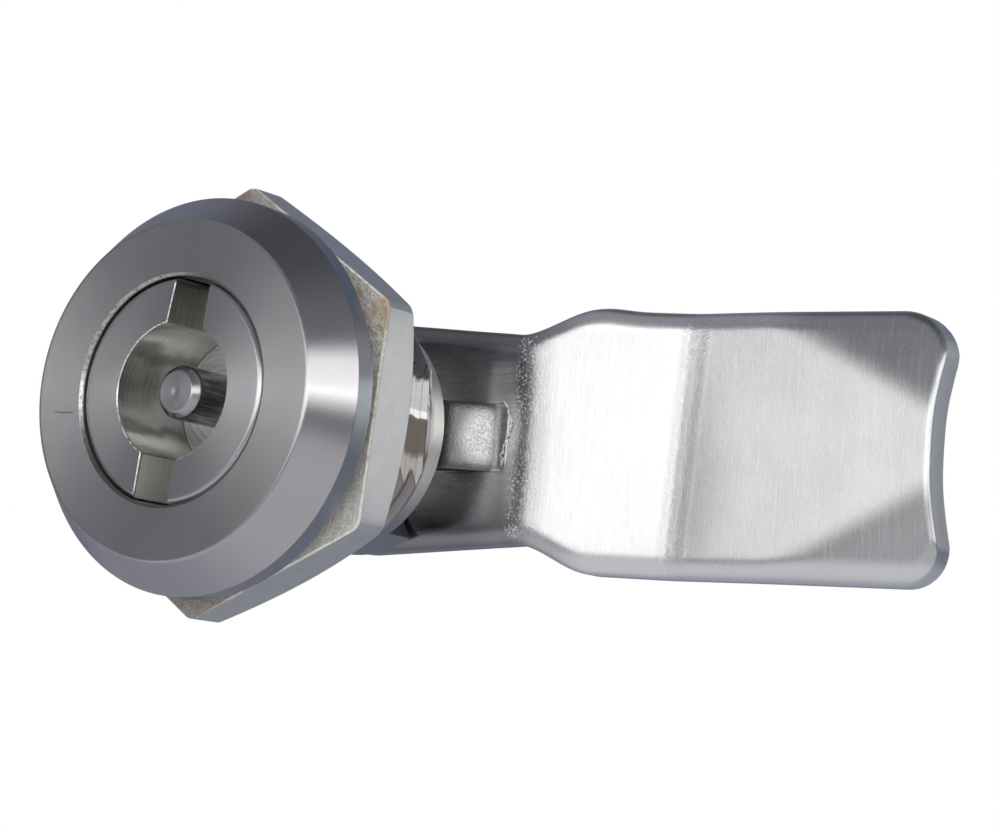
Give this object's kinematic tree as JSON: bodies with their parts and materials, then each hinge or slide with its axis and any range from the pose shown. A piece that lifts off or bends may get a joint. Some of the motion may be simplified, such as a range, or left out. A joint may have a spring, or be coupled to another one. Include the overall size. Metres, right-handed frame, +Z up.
{
  "type": "quarter-turn twist lock",
  "caption": "Panel twist lock with a flanged threaded body, a hexagon nut, a key-turned insert with a cross-slot socket and a bent cam that swings behind the frame.",
  "frame": {"origin": "on the lock's axis, at the flange's back face, where the panel seats", "axes": "+Y along the axis from the key face to the cam, +X along the cam as the picture shows it, +Z up"},
  "size_m": [0.0589, 0.0332, 0.0308],
  "materials": {
    "turned_steel": "turned satin",
    "nut_steel": "satin flats, rough end face",
    "stamped_steel": "tumbled stamping",
    "fastener_steel": "satin",
    "seal_rubber": "matte"
  },
  "bodies": {
    "body": {"housing": "turned_steel"},
    "nut": {"hex_nut": "nut_steel"},
    "turning_set": {"driver": "turned_steel", "socket_pin": "turned_steel", "driver_o_ring": "seal_rubber", "cam": "stamped_steel", "flat_washer": "fastener_steel", "spring_washer": "fastener_steel", "cam_bolt": "fastener_steel"}
  },
  "joints": [
    {"name": "cam_turn", "type": "hinge", "parent": "body", "child": "turning_set", "pos_m": [0, 0, 0], "axis": [0, -1, 0], "range_deg": [-36, 54]},
    {"name": "nut_travel", "type": "slide", "parent": "body", "child": "nut", "axis": [0, 1, 0], "range_m": [-0.001, 0.008]}
  ]
}
